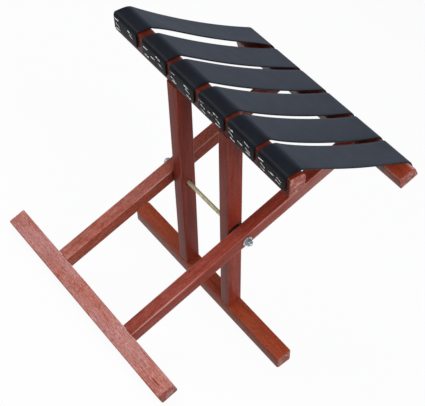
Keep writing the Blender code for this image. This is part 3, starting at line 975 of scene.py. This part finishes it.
def strap_half_path():
    """Points of a strap's underside in x and z, from its right end to the middle of the seat."""
    bends, slope = strap_bends()
    upright = [Vector((SEAT_RAIL_DEPTH / 2 + STRAP_LIFT, AXLE_TO_SEAT_RAIL + STRAP_ABOVE_RAIL_EDGE))]
    for centre, radius, start, stop in bends:
        for step in range(BEND_STEPS + 1):
            angle = start + (stop - start) * step / BEND_STEPS
            upright.append(centre + radius * Vector((math.cos(angle), math.sin(angle))))
    path = [Vector((AXLE.x, AXLE.z)) + RIGHT_RAIL_LEAN @ point for point in upright]
    steps = list(zip(path, path[1:]))
    path = path[:1] + [after for before, after in steps if (after - before).length > SAME_POINT]
    leaves = path[-1]
    for step in range(1, SPAN_STEPS + 1):
        x = leaves.x * (1 - step / SPAN_STEPS)
        path.append(Vector((x, leaves.y - math.tan(slope) * (leaves.x**2 - x**2) / (2 * leaves.x))))
    return path, leaves


half_path, span_end = strap_half_path()
strap_path = half_path + [Vector((-point.x, point.y)) for point in reversed(half_path[:-1])]

# %% One strap
STRAP_THICKNESS = 2 * MM
STRAP_WIDTH = 50 * MM
WIDTH_CUTS = 7
STRAP_EDGE_ROUND = 0.7 * MM
STRAP_EDGE_SEGMENTS = 3
STRAP_EDGE_ANGLE = math.radians(60.0)
# How far up a point looks, from -1 for down to 1, where the leather's painted sheen is weakest and where
# it is full.
WEAKEST_SHEEN_FACING = -0.3
FULL_SHEEN_FACING = 0.5


def mark_facing_sheen(strap):
    """Store on each point how strong the leather's mirror is painted there, by how far it looks up."""
    facing_sheen = strap.data.attributes.new("facing_sheen", "FLOAT", "POINT")
    for vertex, mark in zip(strap.data.vertices, facing_sheen.data):
        share = (vertex.normal.z - WEAKEST_SHEEN_FACING) / (FULL_SHEEN_FACING - WEAKEST_SHEEN_FACING)
        mark.value = max(0.0, min(1.0, share))


def model_strap():
    """One strap with its middle at y 0."""
    bpy.ops.object.select_all(action="DESELECT")
    bpy.ops.mesh.primitive_plane_add(size=STRAP_WIDTH, location=(0.0, 0.0, 0.0))
    strap = bpy.context.object
    bpy.ops.object.mode_set(mode="EDIT")
    pick("EDGE", lambda at, along: at.x > STRAP_WIDTH / 4)
    bpy.ops.mesh.delete(type="VERT")
    bpy.ops.mesh.select_all(action="SELECT")
    start = strap_path[0]
    bpy.ops.transform.translate(value=(start.x + STRAP_WIDTH / 2, 0.0, start.y))
    bpy.ops.mesh.subdivide(number_cuts=WIDTH_CUTS)
    for before, after in zip(strap_path, strap_path[1:]):
        step = after - before
        bpy.ops.mesh.extrude_region_move(TRANSFORM_OT_translate={"value": (step.x, 0.0, step.y)})
    bpy.ops.mesh.select_all(action="SELECT")
    bpy.ops.mesh.normals_make_consistent(inside=False)
    bpy.ops.object.mode_set(mode="OBJECT")
    middle = min(strap.data.polygons, key=lambda face: face.center.length)
    thicken = strap.modifiers.new("thickness", "SOLIDIFY")
    thicken.thickness = STRAP_THICKNESS
    thicken.offset = math.copysign(1.0, middle.normal.z)
    thicken.use_even_offset = True
    ease = strap.modifiers.new("eased edges", "BEVEL")
    ease.width = STRAP_EDGE_ROUND
    ease.segments = STRAP_EDGE_SEGMENTS
    ease.limit_method = "ANGLE"
    ease.angle_limit = STRAP_EDGE_ANGLE
    for modifier in (thicken.name, ease.name):
        bpy.ops.object.modifier_apply(modifier=modifier)
    mark_facing_sheen(strap)
    strap.data.materials.append(LEATHER)
    return strap


pattern_strap = model_strap()
print("pattern strap", len(pattern_strap.data.polygons), "faces")

# %% Six straps
STRAP_CROWN = 0.5 * MM
STRAP_SHARP_ANGLE = math.radians(50.0)
STRAP_NODES = sorted(node for node in frame["nodes"] if node.startswith("seat_strap"))
# The straps were stapled by eye, and have stretched. For each, in millimetres: how far its left and its
# right end sit towards the far end of the rails, and how far its near and its far edge have curled up in
# the span.
STRAP_SETS = (
    (4.2, 5.2, 3.6, -0.3),
    (-0.6, 3.8, 0.7, 0.0),
    (-1.0, 4.8, 0.0, 0.7),
    (-2.0, 4.8, -0.7, -0.3),
    (-1.5, 4.8, -1.2, -0.7),
    (-0.8, 4.8, 2.6, -1.2),
)
# The power that keeps a curl nearly even over the span, and lets it die out at the rails.
CURL_FULLNESS = 6


def settle_strap(strap, left_shift, right_shift, near_curl, far_curl):
    """Give a strap, still at y 0, the small twists of one that has been sat on."""
    for vertex in strap.data.vertices:
        along = max(-1.0, min(1.0, vertex.co.x / span_end.x))
        across = 2 * vertex.co.y / STRAP_WIDTH
        curl = near_curl * (0.5 - across / 2) ** 2 + far_curl * (0.5 + across / 2) ** 2
        vertex.co.z += (1.0 - along**CURL_FULLNESS) * curl * MM - (1.0 - along**2) * STRAP_CROWN * across**2
        vertex.co.y += (left_shift + (right_shift - left_shift) * (1.0 + along) / 2) * MM


for node, strap_set in zip(STRAP_NODES, STRAP_SETS):
    strap = bpy.data.objects.new(node.replace("seat_", "leather_"), pattern_strap.data.copy())
    bpy.context.scene.collection.objects.link(strap)
    settle_strap(strap, *strap_set)
    strap.data.transform(Matrix.Translation((0.0, middle_y(node), 0.0)))
    set_out_of_level(strap, lambda at: max(0.0, min(1.0, 0.5 - at.x / span_end.x / 2)))
    smooth(strap, STRAP_SHARP_ANGLE)
    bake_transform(strap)
    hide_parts(node)
    print(strap.name, len(strap.data.polygons), "faces")
bpy.data.objects.remove(pattern_strap, do_unlink=True)

# %% [markdown]
# ## Steel
# Three platings: the axle is yellow-passivated zinc, gone olive and streaky, the nuts and washers are
# bright zinc with its blue cast, and the staples are galvanised wire with a little rust. A flat grey could
# stand for them, but the colour of a metal is the colour of its reflection. So each is a metal with its
# own tint and roughness, under a dull film where it is stained.

# %% Plated steel
STAIN_EDGE = 0.16
STAIN_ROUGHENS = 0.2


def plated_steel(name, bright, stained, stain_size, stain_from, roughness):
    """Plate that is bright metal, and a dull film of oxide, which isn't a metal, where it is stained."""
    material, tree, shader, place = start_material(name)
    blotting = {"Vector": place, "Scale": 1 / stain_size, "Detail": 4.0}
    blot = add_node(tree, "ShaderNodeTexNoise", inputs=blotting)
    spread = {0: blot.outputs["Fac"], 1: stain_from, 2: stain_from + STAIN_EDGE}
    stain = add_node(tree, "ShaderNodeMapRange", inputs=spread).outputs[0]
    tones = {0: stain, 6: linear(bright), 7: linear(stained)}
    colour = add_node(tree, "ShaderNodeMix", {"data_type": "RGBA"}, tones)
    tree.links.new(colour.outputs[2], shader.inputs["Base Color"])
    dulling = {0: stain, 3: roughness, 4: roughness + STAIN_ROUGHENS}
    dull = add_node(tree, "ShaderNodeMapRange", inputs=dulling)
    tree.links.new(dull.outputs[0], shader.inputs["Roughness"])
    metal = add_node(tree, "ShaderNodeMapRange", inputs={0: stain, 3: 1.0, 4: 0.0})
    tree.links.new(metal.outputs[0], shader.inputs["Metallic"])
    return material


# The bright and the stained colour, the stain's size, where in its pattern it starts, and the roughness.
YELLOW_PLATE = plated_steel("oxidised yellow zinc plate", "#ece6c4", "#e0d6a6", 5 * MM, 0.34, 0.5)
ZINC_PLATE = plated_steel("bright zinc plate on steel", "#bcc7cd", "#8f9aa0", 3 * MM, 0.5, 0.42)
STAPLE_WIRE = plated_steel("galvanised staple wire", "#d0cecd", "#77665f", 5 * MM, 0.48, 0.4)
print("plated:", [steel.name for steel in (YELLOW_PLATE, ZINC_PLATE, STAPLE_WIRE)])

# %% [markdown]
# ## Axle rod
# The axle is a 6 mm rod through all four legs, with a nut and a washer at each end. The rod is a cylinder
# with chamfered ends. The nuts have worn its yellow film off at the tips. A second rod could stand for
# each tip, but two bisects mark off the bare zinc on the one rod, as it is on the real one.

# %% Axle rod
AXLE_DIAMETER = 6 * MM
AXLE_CHAMFER = 0.6 * MM
BARE_TIP = 9 * MM
TURNED_SIDES = 48
# The order of the rod's finishes in its list of materials.
PLATED_FINISH, BARE_FINISH = range(2)


def start_turned(name, diameter, start, end, sides=TURNED_SIDES):
    """A cylinder about the axle between two places along Y, in edit mode."""
    bpy.ops.object.select_all(action="DESELECT")
    bpy.ops.mesh.primitive_cylinder_add(
        vertices=sides, radius=diameter / 2, depth=abs(end - start), rotation=ALONG_Y,
        location=AXLE + Vector((0.0, (start + end) / 2, 0.0)),
    )
    piece = bpy.context.object
    piece.name = name
    bpy.ops.object.transform_apply(location=True, rotation=True, scale=True)
    bpy.ops.object.mode_set(mode="EDIT")
    return piece


low_corner, high_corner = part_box("axle_rod")
rod = start_turned("yellow_axle", AXLE_DIAMETER, low_corner.y, high_corner.y)
pick("EDGE", lambda at, along: abs(along.y) < CROSSWISE)
round_picked(AXLE_CHAMFER, segments=1)
bare_from = high_corner.y - BARE_TIP
mark_off(-bare_from)
mark_off(bare_from)
bpy.ops.object.mode_set(mode="OBJECT")
rod.data.materials.append(YELLOW_PLATE)
rod.data.materials.append(ZINC_PLATE)
for face in rod.data.polygons:
    face.material_index = BARE_FINISH if abs(face.center.y) > bare_from else PLATED_FINISH
finish_piece(rod, "outer_frame", "yellow_plate", "axle_rod")

# %% [markdown]
# ## Nuts
# The nuts are plain hexagons, 10 mm across the flats, with their corners turned off to a cone on both
# faces. The corners could be cut one by one, but a six-sided prism that keeps only what it shares with a
# chamfered cylinder gets the curved edges that turning leaves.

# %% Nuts
NUT_ACROSS_FLATS = 10 * MM
NUT_SIDES = 6
# How far a cutter reaches past what it cuts.
CUT_PAST = 1 * MM


def bore_ring(piece, start, end):
    """Cut the axle's hole through a nut, washer or spacer."""
    bore = start_turned("bore", BORE_DIAMETER, start - CUT_PAST, end + CUT_PAST)
    bpy.ops.object.mode_set(mode="OBJECT")
    cut_with(piece, bore)


def model_nut(node):
    """One nut, in the box of its node along the axle."""
    low_corner, high_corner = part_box(node)
    start, end = low_corner.y, high_corner.y
    corner = NUT_ACROSS_FLATS / 2 / math.cos(math.pi / NUT_SIDES)
    nut = start_turned(node + "_zinc", 2 * corner, start, end, NUT_SIDES)
    bpy.ops.object.mode_set(mode="OBJECT")
    cone = start_turned("chamfer", 2 * corner, start, end)
    pick("EDGE", lambda at, along: abs(along.y) < CROSSWISE)
    turned_off = corner - NUT_ACROSS_FLATS / 2
    bpy.ops.mesh.bevel(offset=turned_off, segments=1, affect="EDGES", offset_type="WIDTH")
    bpy.ops.object.mode_set(mode="OBJECT")
    cut_with(nut, cone, "INTERSECT")
    bore_ring(nut, start, end)
    nut.data.materials.append(ZINC_PLATE)
    finish_piece(nut, "outer_frame", "zinc_plate", node)


for node in ("axle_nut_near", "axle_nut_far"):
    model_nut(node)

# %% [markdown]
# ## Washers and spacers
# The washers are pressed from zinc-plated steel, and the spacers between the legs are moulded in black
# nylon, which is dull and faintly cloudy. Each could be drawn as a spun profile, but all four are a turned
# disc with eased edges and the axle's hole, so one function makes them.

# %% Black nylon
NYLON_BLACK = linear("#1c1a19")
NYLON_CLOUD = 4 * MM
NYLON_DARKEST = 0.85
NYLON_LIGHTEST = 1.05
NYLON_ROUGHNESS = 0.45


def black_nylon():
    material, tree, shader, place = start_material("moulded black nylon")
    cloud = add_node(tree, "ShaderNodeTexNoise", inputs={"Vector": place, "Scale": 1 / NYLON_CLOUD})
    clouding = {0: cloud.outputs["Fac"], 3: NYLON_DARKEST, 4: NYLON_LIGHTEST}
    tone = add_node(tree, "ShaderNodeMapRange", inputs=clouding).outputs[0]
    colour = add_node(tree, "ShaderNodeMix", DARKEN, {0: 1.0, 6: NYLON_BLACK, 7: tone})
    tree.links.new(colour.outputs[2], shader.inputs["Base Color"])
    shader.inputs["Roughness"].default_value = NYLON_ROUGHNESS
    return material


NYLON = black_nylon()
print("nylon clouds", NYLON_CLOUD / MM, "mm across")

# %% Washers and spacers
WASHER_ROUND = 0.35 * MM
SPACER_ROUND = 0.5 * MM


def model_ring(node, finish, slot, edge_round):
    """One washer or spacer, as wide as its node."""
    low_corner, high_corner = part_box(node)
    ring = start_turned(node + "_ring", high_corner.x - low_corner.x, low_corner.y, high_corner.y)
    pick("EDGE", lambda at, along: abs(along.y) < CROSSWISE)
    round_picked(edge_round, END_SEGMENTS)
    bpy.ops.object.mode_set(mode="OBJECT")
    bore_ring(ring, low_corner.y, high_corner.y)
    ring.data.materials.append(finish)
    finish_piece(ring, "outer_frame", slot, node)


for end in ("near", "far"):
    model_ring(f"axle_washer_{end}", ZINC_PLATE, "zinc_plate", WASHER_ROUND)
    model_ring(f"pivot_spacer_{end}", NYLON, "nylon", SPACER_ROUND)

# %% [markdown]
# ## Staples
# Each strap end is held by up to seven wire staples on the rail's outer face, driven by hand, so none is
# quite straight and a few are missing. Each could be modelled in its place, but they are all alike, so one
# is modelled: a bent flat wire whose crown lies on the leather and whose legs go into it. The copies are
# set out along the rail with small seeded differences, and those of one rail are joined.

# %% One staple
STAPLE_CROWN = 9 * MM
STAPLE_WIRE_WIDTH = 1.1 * MM
STAPLE_WIRE_HEIGHT = 0.9 * MM
STAPLE_LEG = 2.2 * MM
STAPLE_ROUND = 0.25 * MM


def model_staple():
    """One staple at the origin: crown along Y, outward along +X."""
    bpy.ops.object.select_all(action="DESELECT")
    bpy.ops.mesh.primitive_cube_add(size=1.0, scale=(STAPLE_WIRE_HEIGHT, STAPLE_CROWN, STAPLE_WIRE_WIDTH))
    staple = bpy.context.object
    bpy.ops.object.transform_apply(location=True, rotation=True, scale=True)
    bpy.ops.object.mode_set(mode="EDIT")
    inner = STAPLE_CROWN / 2 - STAPLE_WIRE_WIDTH
    mark_off(-inner)
    mark_off(inner)
    pick("FACE", lambda at, normal: normal.x < -PARALLEL and abs(at.y) > inner)
    bpy.ops.mesh.extrude_region_move(TRANSFORM_OT_translate={"value": (-STAPLE_LEG, 0.0, 0.0)})
    pick("EDGE", lambda at, along: at.x > 0.0 and abs(along.x) < CROSSWISE)
    round_picked(STAPLE_ROUND, segments=2)
    bpy.ops.object.mode_set(mode="OBJECT")
    return staple


print("staple crown", STAPLE_CROWN / MM, "mm")

# %% Staples
# Where each staple sits: millimetres towards the far end from the strap's middle, millimetres above the
# rail's lower edge, and degrees off level. Three hold each side of a strap end, one of them askew, and one
# its middle.
STAPLE_PLACES = (
    (18, 26, 0), (16, 19, 24), (15, 12.5, 0), (1, 19, 0), (-11, 26, 8), (-14, 19.5, 24), (-14, 13, 4)
)
STAPLE_SHIFT = 1.4 * MM
STAPLE_TURN = math.radians(9.0)
STAPLE_MISSED = 0.12
STAPLE_SEED = 11
chance = random.Random(STAPLE_SEED)


def set_out_staples(name, outward):
    """Copies of the staple on every strap end of one rail, before it leans."""
    pattern = model_staple()
    # A crown is pressed a quarter of its height into the leather.
    face_x = outward * (SEAT_RAIL_DEPTH / 2 + STRAP_LIFT + STRAP_THICKNESS + STAPLE_WIRE_HEIGHT / 4)
    flip = Matrix.Rotation(0.0 if outward > 0 else math.pi, 4, "Z")
    copies = []
    for node, strap_set in zip(STRAP_NODES, STRAP_SETS):
        left_shift, right_shift = strap_set[:2]
        strap_y = middle_y(node) + (right_shift if outward > 0 else left_shift) * MM
        for along, up, level in STAPLE_PLACES:
            if chance.random() < STAPLE_MISSED:
                continue
            y = strap_y + along * MM + chance.uniform(-STAPLE_SHIFT, STAPLE_SHIFT)
            z = AXLE.z + AXLE_TO_SEAT_RAIL + up * MM + chance.uniform(-STAPLE_SHIFT, STAPLE_SHIFT)
            angle = math.radians(level) + chance.uniform(-STAPLE_TURN, STAPLE_TURN)
            copy = bpy.data.objects.new(name, pattern.data.copy())
            bpy.context.scene.collection.objects.link(copy)
            copy.data.transform(Matrix.Translation((face_x, y, z)) @ Matrix.Rotation(angle, 4, "X") @ flip)
            copies.append(copy)
    bpy.data.objects.remove(pattern, do_unlink=True)
    return copies


def staple_rail(name, outward, lean, body):
    """Join one rail's staples into a piece, and lean it with the rail."""
    copies = set_out_staples(name, outward)
    bpy.ops.object.select_all(action="DESELECT")
    for copy in copies:
        copy.select_set(True)
    bpy.context.view_layer.objects.active = copies[0]
    bpy.ops.object.join()
    staples = bpy.context.object
    staples.name = name
    lean_about_axle(staples, lean)
    bpy.ops.object.mode_set(mode="OBJECT")
    if body == "inner_frame":
        set_out_of_level(staples, lambda at: 1.0)
    staples.data.materials.append(STAPLE_WIRE)
    finish_piece(staples, body, "zinc_plate")


staple_rail("staples_left", -1, -FRAME_LEAN, "inner_frame")
staple_rail("staples_right", 1, FRAME_LEAN, "outer_frame")
